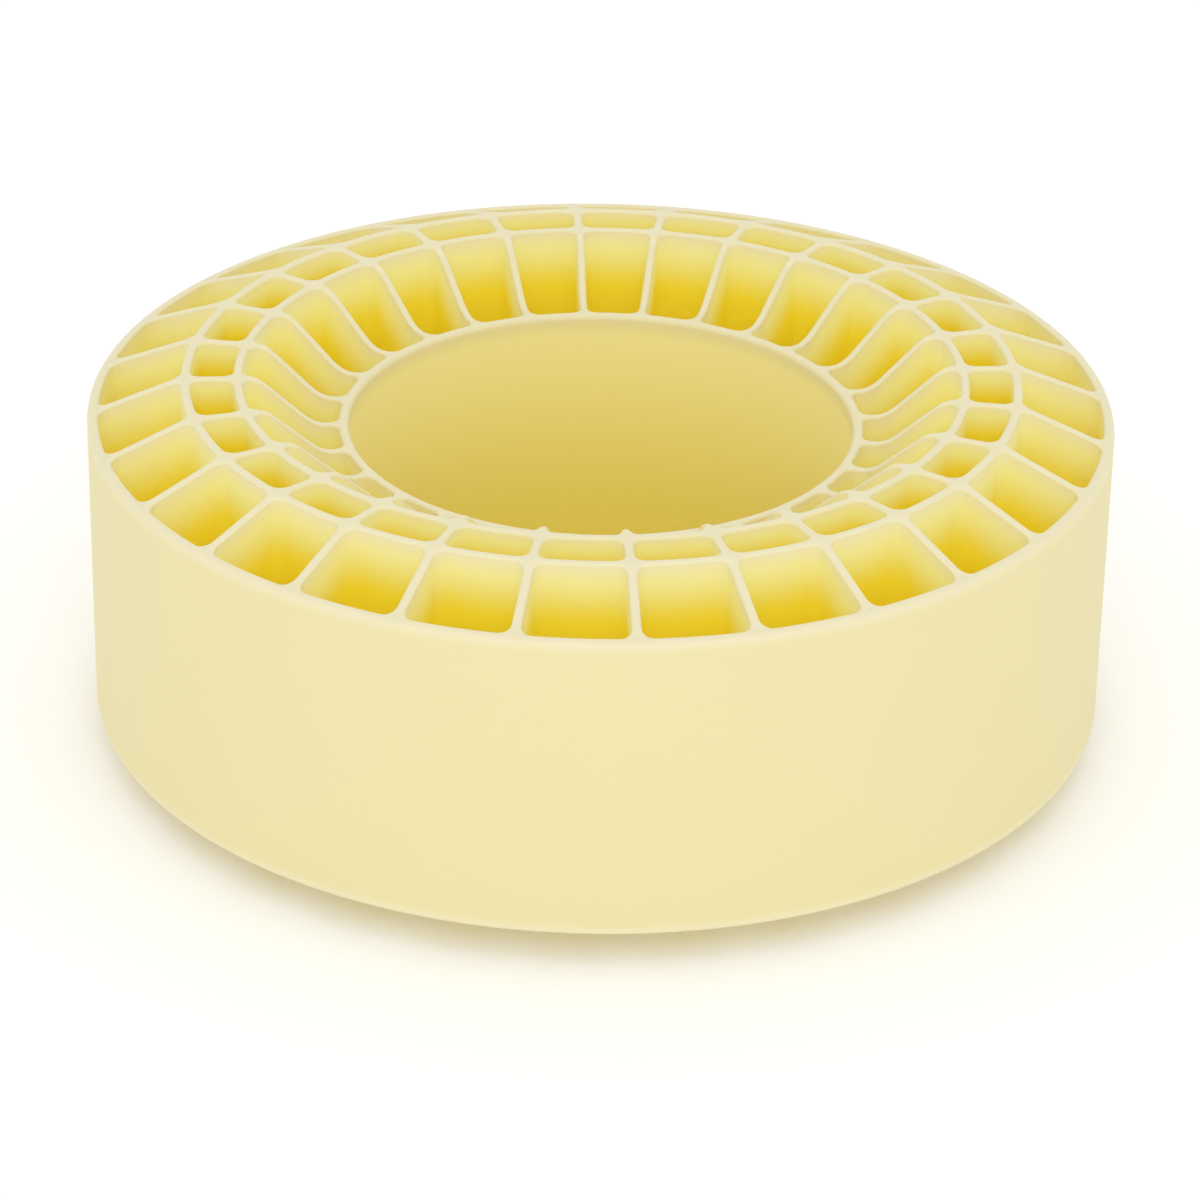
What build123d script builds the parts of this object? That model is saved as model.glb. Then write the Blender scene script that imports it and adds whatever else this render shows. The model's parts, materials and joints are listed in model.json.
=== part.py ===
from build123d import *
from math import asin, cos, pi, sin
import os

# A moulded silicone-rubber tyre insert: a stiff honeycomb ring that fills a
# soft off-road tyre and sits on the wheel's barrel.  It is one moulding of four
# concentric walls, joined by three rows of radial ribs and a thin web at mid
# width.  Each wall, web and set of ribs is written as its own node.
# Millimetres, Z is the ring's axis, and Z = 0 is the face that it stands on.

# driving dimensions -------------------------------------------------------
OUTER_RADIUS = 52.0          # tread side of the insert
BORE_RADIUS = 25.6           # sits on the wheel's barrel
WIDTH = 38.3                 # crest to crest, across the middle row of cells
CELLS = 28                   # cells in each of the three rows

RIM_DROP = 3.35              # the outer wall's lip lies this far below the crest
HUB_DROP = 5.3               # and the hub wall's lip this far
CREST_INNER = 34.9           # radius where the crest begins
CREST_OUTER = 42.6           # and where it ends
HUB_FLAT = 29.1              # the inner row is level from the bore to here
RIM_FLAT = 51.0              # and the outer rim is level from here on

# the three rows of cells, from the bore outwards: inner and outer radius of
# the cells, and the thickness of the ribs between them
ROWS = {
    "inner": (26.7, 36.35, 0.80),
    "middle": (37.25, 41.65, 0.90),
    "outer": (42.55, 50.90, 0.95),
}
CORNER = 1.15                # cell corner radius, seen along the axis
ROOT = 1.40                  # how far a wall's rib roots reach into a cell row
WEB = 2.0                    # thickness of the web that closes the cells

SHOULDER_BLEND = 2.5         # soft turns along the faces of the ring
SLOPE_BLEND = 3.0
RIM_BLEND = 1.0
RIM_ROUND = 0.6              # outer edge of the rim
BORE_ROUND = 0.55            # edge of the bore

MID = WIDTH / 2
PITCH = 360 / CELLS
CLEAR = 2.0                  # how far the cutting tools stand past the ring


def ring_section():
    """Half section of the solid ring, before any cell is cut."""
    hub, rim = WIDTH - HUB_DROP, WIDTH - RIM_DROP
    upper = [
        (BORE_RADIUS, hub, BORE_ROUND),
        (HUB_FLAT, hub, SLOPE_BLEND),
        (CREST_INNER, WIDTH, SHOULDER_BLEND),
        (CREST_OUTER, WIDTH, SHOULDER_BLEND),
        (RIM_FLAT, rim, RIM_BLEND),
        (OUTER_RADIUS, rim, RIM_ROUND),
    ]
    lower = [(r, WIDTH - z, blend) for r, z, blend in reversed(upper)]
    outline = upper + lower
    face = make_face(Polyline([(r, z) for r, z, _ in outline], close=True).edges())
    for radius in sorted({blend for _, _, blend in outline}):
        spots = [Vector(r, z) for r, z, blend in outline if blend == radius]
        corners = [v for v in face.vertices() for spot in spots if (Vector(v) - spot).length < 1e-6]
        face = fillet(corners, radius)
    return Plane.XZ * face


def cell_outline(inner, outer, rib):
    """One cell seen along the axis: two arcs, two sides parallel to the ribs, round corners."""

    def corner(radius, side):
        angle = side * (pi / CELLS - asin(rib / 2 / radius))
        return (radius * cos(angle), radius * sin(angle))

    edges = [
        ThreePointArc(corner(inner, -1), (inner, 0), corner(inner, 1)),
        Line(corner(inner, 1), corner(outer, 1)),
        ThreePointArc(corner(outer, 1), (outer, 0), corner(outer, -1)),
        Line(corner(outer, -1), corner(inner, -1)),
    ]
    outline = make_face(edges)
    return fillet(outline.vertices(), CORNER)


def cells(inner, outer, rib):
    """A row's cells, sunk from both faces to the web."""
    outline = cell_outline(inner, outer, rib)
    depth = MID - WEB / 2 + CLEAR
    upper = extrude(Pos(0, 0, MID + WEB / 2) * outline, amount=depth)
    lower = extrude(Pos(0, 0, -CLEAR) * outline, amount=depth)
    turns = [Rot(0, 0, (number + 0.5) * PITCH) for number in range(CELLS)]
    return [turn * half for turn in turns for half in (upper, lower)]


def tube(inner, outer, low=-CLEAR, high=WIDTH + CLEAR):
    """A cutter between two radii and two heights."""
    shell = Circle(outer) - Circle(inner)
    return extrude(Pos(0, 0, low) * shell, amount=high - low)


def moulding():
    """The whole ring with all its cells cut."""
    ring = revolve(ring_section(), axis=Axis.Z)
    cutters = [cell for row in ROWS.values() for cell in cells(*row)]
    return ring - cutters


def split(whole):
    """Cut the moulding into named regions that meet face to face."""
    inner, middle, outer = ROWS["inner"], ROWS["middle"], ROWS["outer"]
    regions = {
        "hub_wall": whole & tube(BORE_RADIUS - CLEAR, inner[0] + ROOT),
        "middle_wall_inner": whole & tube(inner[1] - ROOT, middle[0] + ROOT),
        "middle_wall_outer": whole & tube(middle[1] - ROOT, outer[0] + ROOT),
        "outer_wall": whole & tube(outer[1] - ROOT, OUTER_RADIUS + CLEAR),
    }
    web_low, web_high = MID - WEB / 2, MID + WEB / 2
    for name, (low_radius, high_radius, _) in ROWS.items():
        span = (low_radius + ROOT, high_radius - ROOT)
        regions[f"{name}_web"] = whole & tube(*span, web_low, web_high)
        regions[f"{name}_ribs_upper"] = whole & tube(*span, low=web_high)
        regions[f"{name}_ribs_lower"] = whole & tube(*span, high=web_low)
    return regions


os.makedirs("parts", exist_ok=True)
for name, shape in split(moulding()).items():
    solids = shape.solids()
    node = solids[0] if len(solids) == 1 else Compound(children=solids)
    node.label = name
    export_step(node, f"parts/{name}.step")
    print(f"{name}: {len(solids)} solids, {sum(s.volume for s in solids) / 1000:.2f} cm3")
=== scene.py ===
# %% [markdown]
# # A silicone-rubber tyre insert
#
# The object is a ring about as wide as a saucer, moulded in one shot from pale yellow silicone rubber.
# It fills the tyre of a small off-road car.  Four thin round walls stand one inside the other, and three
# rows of radial ribs join them into open cells.  The imported CAD model fixes every size and place, and this
# file gives each of its regions a finished mesh and a finish.
#
# We start by loading that model.  It also gives us its box, from which the ring's width is read.

# %% Load the frame
import json
from math import atan2, cos, degrees, hypot, pi, radians, sin, sqrt

import bmesh
import bpy
from mathutils import Matrix, Vector


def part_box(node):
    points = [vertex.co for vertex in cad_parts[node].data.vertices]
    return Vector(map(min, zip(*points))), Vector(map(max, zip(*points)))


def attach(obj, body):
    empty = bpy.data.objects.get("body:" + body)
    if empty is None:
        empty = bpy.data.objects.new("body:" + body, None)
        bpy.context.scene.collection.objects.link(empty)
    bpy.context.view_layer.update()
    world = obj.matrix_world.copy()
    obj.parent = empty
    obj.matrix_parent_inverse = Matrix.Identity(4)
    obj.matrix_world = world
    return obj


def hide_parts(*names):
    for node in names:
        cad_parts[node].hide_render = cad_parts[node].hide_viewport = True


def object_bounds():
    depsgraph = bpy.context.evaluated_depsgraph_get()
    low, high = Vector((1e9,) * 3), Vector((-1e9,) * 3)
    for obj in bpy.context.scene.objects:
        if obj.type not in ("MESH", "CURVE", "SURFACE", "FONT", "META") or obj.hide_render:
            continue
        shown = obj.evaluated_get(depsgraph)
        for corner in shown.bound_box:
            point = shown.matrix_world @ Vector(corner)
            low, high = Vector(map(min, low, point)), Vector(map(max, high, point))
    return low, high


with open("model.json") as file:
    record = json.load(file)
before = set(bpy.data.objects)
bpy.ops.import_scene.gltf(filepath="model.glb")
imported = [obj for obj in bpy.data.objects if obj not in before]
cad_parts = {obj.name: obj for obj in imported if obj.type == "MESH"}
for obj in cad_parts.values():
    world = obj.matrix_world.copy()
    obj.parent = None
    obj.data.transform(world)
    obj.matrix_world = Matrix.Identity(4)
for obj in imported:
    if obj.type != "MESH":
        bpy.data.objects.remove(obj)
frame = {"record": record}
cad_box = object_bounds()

MM = 0.001
print("CAD box, mm:", [[round(v / MM, 2) for v in corner] for corner in cad_box])

# %% [markdown]
# ## Sizes
#
# The outside sizes are read from the frame, so the meshes can't drift away from the CAD.  The frame has no
# word for a wall's thickness or a cell's corner, so those few are repeated here in millimetres.  We work in
# millimetres while a mesh grows, because bevels and merges behave best on numbers near one, and we shrink
# the finished mesh to metres.

# %% Sizes of the ring
mounts = {mount["name"]: mount for mount in frame["record"]["mounts"]}
BORE = mounts["wheel_bore"]["dims"]["r_mm"]
OUTSIDE = mounts["tread_side"]["dims"]["r_mm"]
WIDTH = cad_box[1][2] / MM
HUB_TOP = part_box("hub_wall")[1][2] / MM
WEB_LOW, WEB_HIGH = (corner[2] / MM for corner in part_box("outer_web"))
MID = WIDTH / 2

CELLS = 28
HALF_PITCH = pi / CELLS
CORNER = 1.15                # radius of a cell's corners, seen along the axis
ROOT = 1.40                  # how far the rib roots on a wall reach into the row
# each row of cells: where it starts, where it ends, and how thick its ribs are
ROWS = {"inner": (26.7, 36.35, 0.80), "middle": (37.25, 41.65, 0.90), "outer": (42.55, 50.90, 0.95)}
LIP = 0.33                   # rounding along the mouth of every cell
RIM = 0.60                   # rounding of the ring's outer edge
BORE_EDGE = 0.55             # rounding of the bore's edge
print(f"bore {BORE} mm, outside {OUTSIDE} mm, {WIDTH:.1f} mm wide, web {WEB_LOW:.1f} to {WEB_HIGH:.1f} mm")

# %% [markdown]
# ## The crown
#
# Seen from the side, the ring isn't flat on top.  The hub wall is lowest, the ribs of the inner row climb a
# ramp to the crest, the middle row is level, and the outer ribs fall gently to the rim.  We could model
# each slope with its own geometry.  It is simpler to model every piece with a flat top, and then to lift or
# lower its top by one function of the radius.  Neighbours that share a radius then meet by themselves.

# %% The height of the crown at any radius
RIM_TOP = WIDTH - 3.35
HUB_FLAT, CREST_START, CREST_END, RIM_FLAT = 29.1, 34.9, 42.6, 51.0
# each bend of the crown: its radius, how far the turn spreads each way, and the change of slope there
UP = (WIDTH - HUB_TOP) / (CREST_START - HUB_FLAT)
DOWN = (WIDTH - RIM_TOP) / (RIM_FLAT - CREST_END)
BENDS = ((HUB_FLAT, 1.1, UP), (CREST_START, 0.95, -UP), (CREST_END, 0.5, -DOWN), (RIM_FLAT, 0.2, DOWN))


def crown(radius):
    height = HUB_TOP
    for place, spread, change in BENDS:
        past = radius - place
        if past >= spread:
            height += change * past
        elif past > -spread:
            height += change * (past + spread) ** 2 / (4 * spread)
    return height


print("crown at bore, crest, rim:", [round(crown(r), 2) for r in (BORE, 39.0, OUTSIDE)])

# %% [markdown]
# ## The shape of one wall, seen along the axis
#
# The ring repeats 28 times, and each repeat is its own mirror image.  So only half a repeat has to be
# drawn: from the middle of a rib to the middle of the next cell.  In it the edge of a wall runs along the
# rib, turns through a round corner, and follows the wall.  The strip of rubber behind that edge is an L.
#
# A mesh of four-sided faces bends and bevels best, so the L is made by pushing a copy of the edge back to
# the far side of the strip, with one far point for each near point.  The far corner of the L belongs to the
# middle of the round corner.

# %% Points along the edge of a cell, and behind it
ROUND_STEPS = 8              # faces round a cell's corner
WALL_STEPS = 5               # and from there to the middle of the cell
CORNER_REACH = 1.62          # how far along the far side, in mm, the points behind a corner are spread


def polar(radius, angle):
    return Vector((radius * cos(angle), radius * sin(angle), 0))


def cell_edge(wall, seam, rib):
    """From the seam across a rib, round the corner and along the wall to mid cell."""
    side = 1 if seam > wall else -1
    middle_y = rib / 2 + CORNER
    middle_radius = wall + side * CORNER
    centre = Vector((sqrt(middle_radius ** 2 - middle_y ** 2), middle_y, 0))
    start = -pi / 2
    stop = atan2(-side * centre.y, -side * centre.x)
    if side > 0:
        stop -= 0 if stop < 0 else 2 * pi
    points = [Vector((seam, rib / 2, 0))]
    for step in range(ROUND_STEPS + 1):
        points.append(centre + polar(CORNER, start + (stop - start) * step / ROUND_STEPS))
    first = atan2(centre.y, centre.x)
    for step in range(1, WALL_STEPS + 1):
        points.append(polar(wall, first + (HALF_PITCH - first) * step / WALL_STEPS))
    return points


def far_side(edge, far):
    """The points behind a cell edge: out along the middle of the rib, then round at radius far."""
    half = ROUND_STEPS // 2
    start = edge[1].x
    points = [Vector((edge[0].x, 0, 0))]
    points += [Vector((start + (far - start) * step / half, 0, 0)) for step in range(half)]
    turn = CORNER_REACH / far
    points += [polar(far, turn * step / half) for step in range(half + 1)]
    for step in range(1, WALL_STEPS + 1):
        points.append(polar(far, turn + (HALF_PITCH - turn) * step / WALL_STEPS))
    return points


def push(bm, verts, targets):
    """Extrude a chain of edges and set its new points down on the targets; returns the new faces."""
    pairs = list(zip(verts, verts[1:]))
    edges = [bm.edges.get(pair) or bm.edges.new(pair) for pair in pairs]
    grown = bmesh.ops.extrude_edge_only(bm, edges=edges)["geom"]
    new = [item for item in grown if isinstance(item, bmesh.types.BMVert)]
    for old, target in zip(verts, targets):
        copy = min(new, key=lambda vert: (vert.co - old.co).length)
        copy.co = target
        new.remove(copy)
    return [item for item in grown if isinstance(item, bmesh.types.BMFace)]


sample = cell_edge(ROWS["outer"][1], ROWS["outer"][1] - ROOT, ROWS["outer"][2])
print("one half repeat has", len(sample), "points along its edge, and stops at",
      round(degrees(atan2(sample[-1].y, sample[-1].x)), 3), "degrees")

# %% [markdown]
# ## From a flat drawing to a closed piece
#
# Both the walls and the ribs go through the same steps.  The flat half repeat is raised to its full height,
# mirrored twice, and spun round the axis.  Then its edges are rounded with a bevel, while the top is still
# flat and every angle is square, because a bevel is most even there.  Last, the crown moves the top and
# bottom edges to their heights.
#
# The faces that lie in the mirror planes have to go before the mirroring, or they would stay inside as
# hidden walls.

# %% Helpers that raise, mirror, spin, round and crown
TINY = 1e-4                  # points closer than this are one point
EDGE_ZONE = 1.5              # the crown moves only the points this close to the flat top or bottom


def raise_faces(bm, faces, height):
    grown = bmesh.ops.extrude_face_region(bm, geom=faces)["geom"]
    verts = [g for g in grown if isinstance(g, bmesh.types.BMVert)]
    bmesh.ops.translate(bm, verts=verts, vec=(0, 0, height))
    return [g for g in grown if isinstance(g, bmesh.types.BMFace)]


def open_planes(bm, tests):
    """Delete the faces that lie wholly in a mirror plane."""
    flat = [f for f in bm.faces if any(all(abs(test(v.co)) < TINY for v in f.verts) for test in tests)]
    bmesh.ops.delete(bm, geom=flat, context="FACES")


def mirror(bm, matrix, axis):
    geom = bm.verts[:] + bm.edges[:] + bm.faces[:]
    bmesh.ops.mirror(bm, geom=geom, matrix=matrix, merge_dist=TINY, axis=axis)


def all_round(bm):
    """Copy one repeat to the other 27 places and weld the copies together."""
    geom = bm.verts[:] + bm.edges[:] + bm.faces[:]
    bmesh.ops.spin(bm, geom=geom, cent=(0, 0, 0), axis=(0, 0, 1), angle=2 * pi * (CELLS - 1) / CELLS,
                   steps=CELLS - 1, use_duplicate=True)
    bmesh.ops.remove_doubles(bm, verts=bm.verts, dist=TINY)
    bmesh.ops.recalc_face_normals(bm, faces=bm.faces)


def round_edges(bm, mark, number, size, steps):
    edges = [edge for edge in bm.edges if edge[mark] == number]
    bmesh.ops.bevel(bm, geom=edges, offset=size, offset_type="OFFSET", segments=steps, profile=0.5,
                    affect="EDGES", clamp_overlap=False, material=-1)


def fit_to_crown(bm):
    """Slide the flat top, and the flat bottom, to the height that the crown has at each point."""
    for vert in bm.verts:
        if abs(vert.co.z - MID) > MID - EDGE_ZONE:
            lift = crown(hypot(vert.co.x, vert.co.y)) - WIDTH
            vert.co.z += lift if vert.co.z > MID else -lift


# %% [markdown]
# A finished piece is shrunk to metres and given smooth shading.  Edges that turn sharply, such as the cut
# faces at a seam, stay crisp.  The Weighted Normal modifier lets the big faces decide the shading, so a
# small rounding doesn't throw a false gradient down a whole wall.

# %% Turning a mesh into a piece
CRISP = radians(40)


def finish_piece(bm, name):
    bmesh.ops.recalc_face_normals(bm, faces=bm.faces)
    bmesh.ops.scale(bm, verts=bm.verts, vec=(MM, MM, MM))
    mesh = bpy.data.meshes.new(name)
    bm.to_mesh(mesh)
    open_edges = sum(not edge.is_manifold for edge in bm.edges)
    bm.free()
    mesh.shade_smooth()
    mesh.set_sharp_from_angle(angle=CRISP)
    piece = bpy.data.objects.new(name, mesh)
    bpy.context.scene.collection.objects.link(piece)
    weighted = piece.modifiers.new("even shading", "WEIGHTED_NORMAL")
    weighted.keep_sharp = True
    node = name.removesuffix("_moulded")
    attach(piece, "root")
    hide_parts(node)
    print(f"{name}: {len(mesh.polygons)} faces, {open_edges} open edges")
    return piece


# %% [markdown]
# ## The four walls
#
# On the real ring a wall flares where a rib leaves it, because the mould's corners are round.  So the
# flared root of each rib is drawn as part of the wall, and the seam to the rib's own piece lies further out,
# where the rib is straight and a plain cut hides best.  The same goes for the web at mid width.

# %% Walls


def wall_sector(bm, cell_radius, seam, rib, far):
    """Half a repeat of the strip between a row of cells and radius far, and its web; returns the strip."""
    edge = cell_edge(cell_radius, seam, rib)
    verts = [bm.verts.new(point) for point in edge]
    strip = push(bm, verts, far_side(edge, far))
    seam_radius = hypot(seam, rib / 2)
    web = [polar(seam_radius, atan2(p.y, p.x)) for p in edge]
    push(bm, verts, web)
    return strip


def wall(name, sides, rims=()):
    """sides: (cell radius, seam, rib thickness, far radius) for each row that the wall meets."""
    bm = bmesh.new()
    strips = []
    for side in sides:
        strips += wall_sector(bm, *side)
    tops = {tuple(round(c, 5) for c in face.calc_center_median()) for face in strips}
    bmesh.ops.remove_doubles(bm, verts=bm.verts, dist=TINY)
    bmesh.ops.translate(bm, verts=bm.verts, vec=(0, 0, MID))
    level = raise_faces(bm, bm.faces[:], WEB_HIGH - MID)
    lifted = [f for f in level if tuple(round(c, 5) for c in (*f.calc_center_median().xy, 0)) in tops]
    raise_faces(bm, lifted, WIDTH - WEB_HIGH)
    bmesh.ops.delete(bm, geom=lifted, context="FACES")
    cell_middle = Vector((-sin(HALF_PITCH), cos(HALF_PITCH), 0))
    open_planes(bm, (lambda co: co.y, lambda co: co.z - MID, lambda co: co.dot(cell_middle)))

    mark = bm.edges.layers.int.new("rounding")
    seams = [side[1] for side in sides]
    for edge in bm.edges:
        ends = [vert.co for vert in edge.verts]
        if any(co.z < WIDTH - TINY for co in ends) or len(edge.link_faces) != 2:
            continue
        if all(abs(face.normal.z) > 0.5 for face in edge.link_faces):
            continue
        if any(all(abs(co.x - seam) < TINY for co in ends) for seam in seams):
            continue
        edge[mark] = 1
        for number, (radius, _) in enumerate(rims):
            if all(abs(hypot(*co.xy) - radius) < 0.01 for co in ends):
                edge[mark] = 2 + number

    mirror(bm, Matrix(), "Y")
    mirror(bm, Matrix.Translation((0, 0, -MID)), "Z")
    all_round(bm)
    for number, (_, size) in enumerate(rims):
        round_edges(bm, mark, 2 + number, size, 4)
    round_edges(bm, mark, 1, LIP, 4)
    fit_to_crown(bm)
    return finish_piece(bm, name)


inner, middle, outer = ROWS["inner"], ROWS["middle"], ROWS["outer"]
ring_b = (inner[1] + middle[0]) / 2
ring_a = (middle[1] + outer[0]) / 2
walls = [
    wall("hub_wall_moulded", [(inner[0], inner[0] + ROOT, inner[2], BORE)], [(BORE, BORE_EDGE)]),
    wall("middle_wall_inner_moulded", [(inner[1], inner[1] - ROOT, inner[2], ring_b),
                                       (middle[0], middle[0] + ROOT, middle[2], ring_b)]),
    wall("middle_wall_outer_moulded", [(middle[1], middle[1] - ROOT, middle[2], ring_a),
                                       (outer[0], outer[0] + ROOT, outer[2], ring_a)]),
    wall("outer_wall_moulded", [(outer[1], outer[1] - ROOT, outer[2], OUTSIDE)], [(OUTSIDE, RIM)]),
]

# %% [markdown]
# ## The ribs
#
# A rib is a thin straight plate between two seams.  Its plan is so simple that a row of points and one push
# to the middle line make it.  The inner ribs carry the steep S of the crown, so they get more points along
# their length than the others.

# %% Ribs


def ribs(row, steps):
    """All the ribs of one row above the web, and their mirror image below it."""
    start, stop, thickness = ROWS[row]
    start, stop = start + ROOT, stop - ROOT
    pieces = []
    for half in ("upper", "lower"):
        bm = bmesh.new()
        line = [Vector((start + (stop - start) * n / steps, thickness / 2, 0)) for n in range(steps + 1)]
        verts = [bm.verts.new(point) for point in line]
        push(bm, verts, [Vector((point.x, 0, 0)) for point in line])
        bmesh.ops.translate(bm, verts=bm.verts, vec=(0, 0, WEB_HIGH))
        raise_faces(bm, bm.faces[:], WIDTH - WEB_HIGH)
        open_planes(bm, (lambda co: co.y,))
        mark = bm.edges.layers.int.new("rounding")
        for edge in bm.edges:
            ends = [vert.co for vert in edge.verts]
            edge[mark] = all(co.z > WIDTH - TINY and co.y > thickness / 2 - TINY for co in ends)
        mirror(bm, Matrix(), "Y")
        all_round(bm)
        round_edges(bm, mark, 1, LIP, 4)
        fit_to_crown(bm)
        if half == "lower":
            bmesh.ops.translate(bm, verts=bm.verts, vec=(0, 0, -MID))
            bmesh.ops.scale(bm, verts=bm.verts, vec=(1, 1, -1))
            bmesh.ops.translate(bm, verts=bm.verts, vec=(0, 0, MID))
        pieces.append(finish_piece(bm, f"{row}_ribs_{half}_moulded"))
    return pieces


rib_pieces = ribs("inner", 26) + ribs("middle", 3) + ribs("outer", 12)

# %% [markdown]
# ## The webs
#
# A thin skin closes each row of cells at mid width, where the two halves of the mould's cores meet.  It is
# a flat washer: a rectangle spun once round the axis.

# %% Webs
WEB_STEPS = CELLS * 16


def web(row):
    start, stop, thickness = ROWS[row]
    near, far = hypot(start + ROOT, thickness / 2), hypot(stop - ROOT, thickness / 2)
    bm = bmesh.new()
    corners = ((near, WEB_LOW), (far, WEB_LOW), (far, WEB_HIGH), (near, WEB_HIGH))
    verts = [bm.verts.new((radius, 0, height)) for radius, height in corners]
    outline = [bm.edges.new((verts[n], verts[(n + 1) % 4])) for n in range(4)]
    bmesh.ops.spin(bm, geom=verts + outline, cent=(0, 0, 0), axis=(0, 0, 1), angle=2 * pi,
                   steps=WEB_STEPS, use_merge=True)
    bmesh.ops.remove_doubles(bm, verts=bm.verts, dist=TINY)
    return finish_piece(bm, f"{row}_web_moulded")


webs = [web(row) for row in ROWS]

# %% [markdown]
# ## Shader maths in plain Python
#
# A shader is a graph of nodes.  A small class that wraps a socket lets us write the graph as a sum.

# %% Sockets that add, subtract and multiply


class Wire:
    """An output socket that can be used in an expression."""

    def __init__(self, paint, socket):
        self.paint, self.socket = paint, socket

    def maths(self, operation, *values):
        return self.paint.add("ShaderNodeMath", {"operation": operation}, *values)

    def __add__(self, other):
        return self.maths("ADD", self, other)

    def __sub__(self, other):
        return self.maths("SUBTRACT", self, other)

    def __rsub__(self, other):
        return self.maths("SUBTRACT", other, self)

    def __mul__(self, other):
        return self.maths("MULTIPLY", self, other)

    def __truediv__(self, other):
        return self.maths("DIVIDE", self, other)

    def __pow__(self, other):
        return self.maths("POWER", self, other)

    def between(self, low, high):
        """0 below low, 1 above high, and smooth between."""
        return self.paint.add("ShaderNodeMapRange", {"interpolation_type": "SMOOTHSTEP"}, self, low, high)


class Paint:
    """A material's node tree, with one method that adds any node."""

    def __init__(self, name):
        self.material = bpy.data.materials.new(name)
        self.material.use_nodes = True
        self.tree = self.material.node_tree
        self.shader = self.tree.nodes["Principled BSDF"]

    def add(self, kind, settings=None, *values, output=0, **named):
        node = self.tree.nodes.new(kind)
        for key, value in (settings or {}).items():
            setattr(node, key, value)
        for place, value in list(enumerate(values)) + list(named.items()):
            self.join(node.inputs[place], value)
        return Wire(self, node.outputs[output])

    def join(self, socket, value):
        if isinstance(value, Wire):
            self.tree.links.new(value.socket, socket)
        elif value is not None:
            socket.default_value = value

    def blend(self, factor, first, second):
        """A mix of two colours."""
        node = self.tree.nodes.new("ShaderNodeMix")
        node.data_type = "RGBA"
        for place, value in ((0, factor), (6, first), (7, second)):
            self.join(node.inputs[place], value)
        return Wire(self, node.outputs[2])


# %% [markdown]
# ## Silicone rubber
#
# Pale silicone lets a little light in.  On a thin lip it looks like cream, and down in a cell, where light
# has been scattered by rubber many times before it comes out, it turns to a strong egg yellow.  A renderer
# that follows only a few bounces can't build up that yellow by itself.  So the lips get a painted highlight,
# the colour is deepened with the depth below the mouth of the cell as painted shade and painted scattered
# light, a faint painted glow stands for the light that comes through the thin walls, and the bounces do the
# rest.  The bore's face gets painted shade towards its lower end and a faint painted glow below its lip.
# The middle row is narrower than the others, so its painted shade darkens in fewer millimetres.
#
# The depth comes from the same crown that shaped the meshes, worked out again from the point's own
# coordinates, so the colour runs across every seam without a step.

# %% Depth below the mouth of a cell, as a shader value


def rubber_masks(paint):
    """Depth below the crown and below the hub's lip, and masks: bore face, cells, narrow middle row."""
    place = paint.add("ShaderNodeTexCoord", None, output="Object")
    split = paint.add("ShaderNodeSeparateXYZ", None, place)
    x, y, z = (Wire(paint, socket) / MM for socket in split.socket.node.outputs)
    radius = (x * x + y * y) ** 0.5
    top = HUB_TOP
    for bend, _, change in BENDS:
        past = radius - bend
        top = past.maths("MAXIMUM", past, 0.0) * change + top
    height = (z - MID).maths("ABSOLUTE", z - MID)
    depth = top - MID - height
    past_bore = radius.between(BORE + 0.2, BORE + 0.7)
    bore = 1 - past_bore
    cells = past_bore * (1 - radius.between(OUTSIDE - 0.8, OUTSIDE - 0.3))
    start, stop, _ = ROWS["middle"]
    narrow = radius.between(start - 0.65, start - 0.05) * (1 - radius.between(stop + 0.05, stop + 0.65))
    return place, depth, HUB_TOP - z, bore, cells, narrow


# %% The finish: the rubber's colour, painted highlight, painted shade and painted glow
# painted highlight: the pale cream on every lip
LIP_HIGHLIGHT = (0.855, 0.785, 0.520, 1)
SKIN = (0.820, 0.735, 0.400, 1)
# painted shade: the deeper gold at the lower end of the bore
BORE_FOOT_SHADE = (0.850, 0.690, 0.130, 1)
# painted scattered light and painted shade inside the cells, from just under the lip to deep down
SHALLOW_SCATTERED_LIGHT = (0.925, 0.870, 0.380, 1)
DEEP_SHADE_AND_SCATTER = (0.950, 0.785, 0.060, 1)
NO_GLOW = (0.000, 0.000, 0.000, 1)
# painted light: glows on the bore's face and in the cells, which are no lamps
BORE_GLOW = (0.110, 0.105, 0.018, 1)
SHALLOW_GLOW = (0.070, 0.074, 0.026, 1)
DEEP_GLOW = (0.070, 0.060, 0.000, 1)


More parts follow.
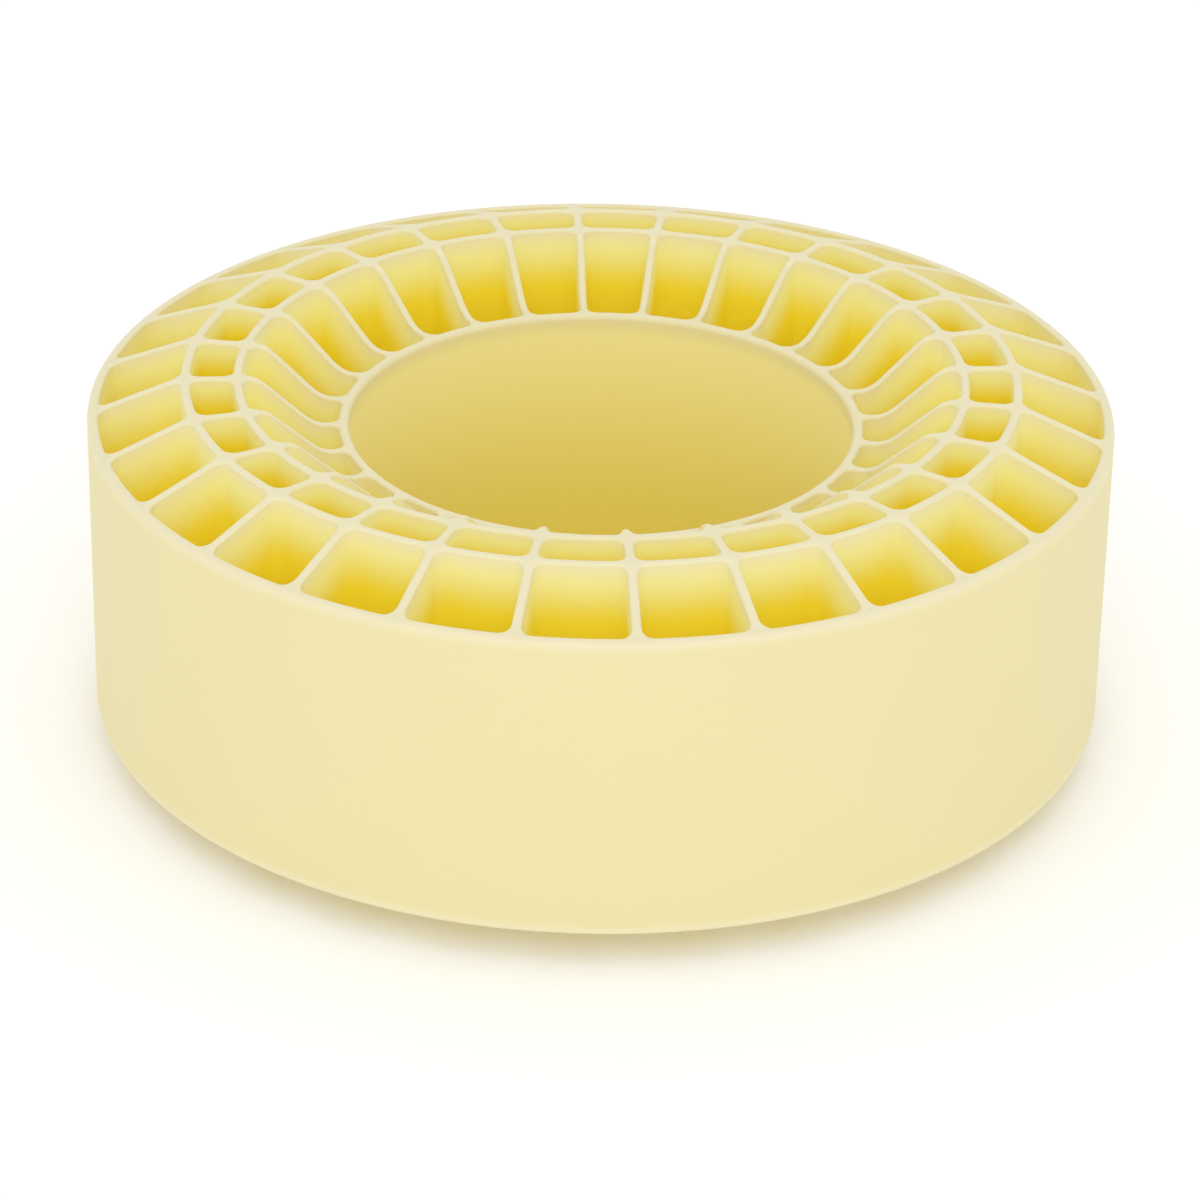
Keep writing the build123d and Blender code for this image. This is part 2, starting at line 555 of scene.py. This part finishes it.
def silicone():
    paint = Paint("silicone rubber")
    place, depth, fall, bore, cells, narrow = rubber_masks(paint)
    # the painted shade in the cells comes on faster in the narrow middle row
    sunk = depth * (narrow * 0.8 + 1)
    # painted highlight: every lip, top and bottom, is paler, fading to the rubber's own colour 1.5 mm below
    # it
    skin = paint.blend(depth.between(0.0, 1.5), LIP_HIGHLIGHT, SKIN)
    # painted shade: the bore's face turns a deeper gold towards its lower end
    skin = paint.blend(bore * fall.between(-6.0, 26.0), skin, BORE_FOOT_SHADE)
    # painted scattered light and painted shade: a cell's walls turn from the pale lip to lemon, then to egg
    # yellow with depth
    cell = paint.blend(sunk.between(0.0, 2.4), LIP_HIGHLIGHT, SHALLOW_SCATTERED_LIGHT)
    cell = paint.blend(sunk.between(1.8, 6.8), cell, DEEP_SHADE_AND_SCATTER)
    paint.join(paint.shader.inputs["Base Color"], paint.blend(cells, skin, cell))
    # painted light: a faint glow in the cells, stronger with depth
    glow = paint.blend(sunk.between(-0.1, 0.7), NO_GLOW, SHALLOW_GLOW)
    glow = paint.blend(sunk.between(1.8, 6.5), glow, DEEP_GLOW)
    # painted light: a faint glow on the bore's face that starts just under its lip and fades down the bore
    bore_glow = paint.blend(fall.between(-2.0, 26.0), BORE_GLOW, NO_GLOW)
    bore_glow = paint.blend(fall.between(0.2, 2.5), NO_GLOW, bore_glow)
    glow = paint.blend(cells, NO_GLOW, glow)
    paint.join(paint.shader.inputs["Emission Color"], paint.blend(bore, glow, bore_glow))
    paint.shader.inputs["Emission Strength"].default_value = 1.0
    paint.shader.inputs["Roughness"].default_value = 0.5
    paint.shader.inputs["Specular IOR Level"].default_value = 0.35
    grain = paint.add("ShaderNodeTexNoise", None, Vector=place, Scale=900.0, Detail=2.0)
    bump = paint.add("ShaderNodeBump", None, Strength=0.15, Distance=0.00005, Height=grain)
    paint.join(paint.shader.inputs["Normal"], bump)
    return paint.material


rubber = silicone()
for piece in walls + rib_pieces + webs:
    piece.data.materials.append(rubber)
print("finish:", rubber.name)

# %% [markdown]
# ## The table
#
# The ring stands on a wide white table.  The table glows faintly by itself, as a light table does, so it
# stays white right up to the soft shadow under the outer wall.

# %% Table
FLOOR_HALF = 3.0
bm = bmesh.new()
bmesh.ops.create_grid(bm, x_segments=1, y_segments=1, size=FLOOR_HALF)
mesh = bpy.data.meshes.new("table")
bm.to_mesh(mesh)
bm.free()
table = bpy.data.objects.new("table", mesh)
bpy.context.scene.collection.objects.link(table)
white = Paint("white table")
white.shader.inputs["Base Color"].default_value = (0.95, 0.95, 0.95, 1)
white.shader.inputs["Emission Color"].default_value = (1, 1, 1, 1)
white.shader.inputs["Emission Strength"].default_value = 0.13
white.shader.inputs["Roughness"].default_value = 0.9
mesh.materials.append(white.material)
print("table:", 2 * FLOOR_HALF, "m across")

# %% [markdown]
# ## Light
#
# An even white surround gives nearly all the light, and it leaves no hard shadow anywhere.  One soft light
# in front of the ring makes the middle of the wall a little brighter than its sides.

# %% Light
world = bpy.data.worlds.new("studio")
world.use_nodes = True
world.node_tree.nodes["Background"].inputs["Color"].default_value = (1, 1, 1, 1)
world.node_tree.nodes["Background"].inputs["Strength"].default_value = 0.90
bpy.context.scene.world = world
bpy.context.scene.view_settings.view_transform = "Standard"


AIM = Vector((0, 0, 0.02))


def soft_light(name, place, size, power):
    light = bpy.data.lights.new(name, "AREA")
    light.shape = "DISK"
    light.size = size
    light.energy = power
    lamp = bpy.data.objects.new(name, light)
    lamp.location = place
    lamp.rotation_euler = (AIM - Vector(place)).to_track_quat("-Z", "Y").to_euler()
    bpy.context.scene.collection.objects.link(lamp)


soft_light("front", (-0.05, -0.75, 0.55), 0.5, 1.1)
print("lights: an even white surround and one soft light in front")

# %% [markdown]
# ## Camera
#
# A long lens looks down at the ring from half a metre away.  Its place is given by a distance, an
# elevation and a heading from the middle of the crest.  Its aim is a little lower than that, and it is
# rolled slightly.

# %% Camera
SIGHT = Vector((0, 0, WIDTH * MM))      # middle of the crest, where the view is measured from
DISTANCE = 0.490
ELEVATION = 24.92
HEADING = -4.21
DOWNWARD = ELEVATION + 2.70             # aimed a little below the ring
SIDEWAYS = -0.030
ROLL = 1.03
camera = bpy.data.objects.new("camera", bpy.data.cameras.new("camera"))
bpy.context.scene.collection.objects.link(camera)
turn = Matrix.Rotation(radians(HEADING), 4, "Z")
back = turn @ Vector((0, -cos(radians(ELEVATION)), sin(radians(ELEVATION))))
swing = Matrix.Rotation(radians(HEADING + SIDEWAYS), 4, "Z")
tilt = Matrix.Rotation(radians(90 - DOWNWARD), 4, "X")
lean = Matrix.Rotation(radians(ROLL), 4, "Z")
aim = swing @ tilt @ lean
camera.matrix_world = Matrix.Translation(SIGHT + DISTANCE * back) @ aim
camera.data.lens = 145.0
camera.data.sensor_width = 36
camera.data.clip_start = 0.01
bpy.context.scene.camera = camera
print("camera at", [round(c, 3) for c in camera.location], "m")

# %% [markdown]
# ## The end

# %% The end
bpy.context.view_layer.update()
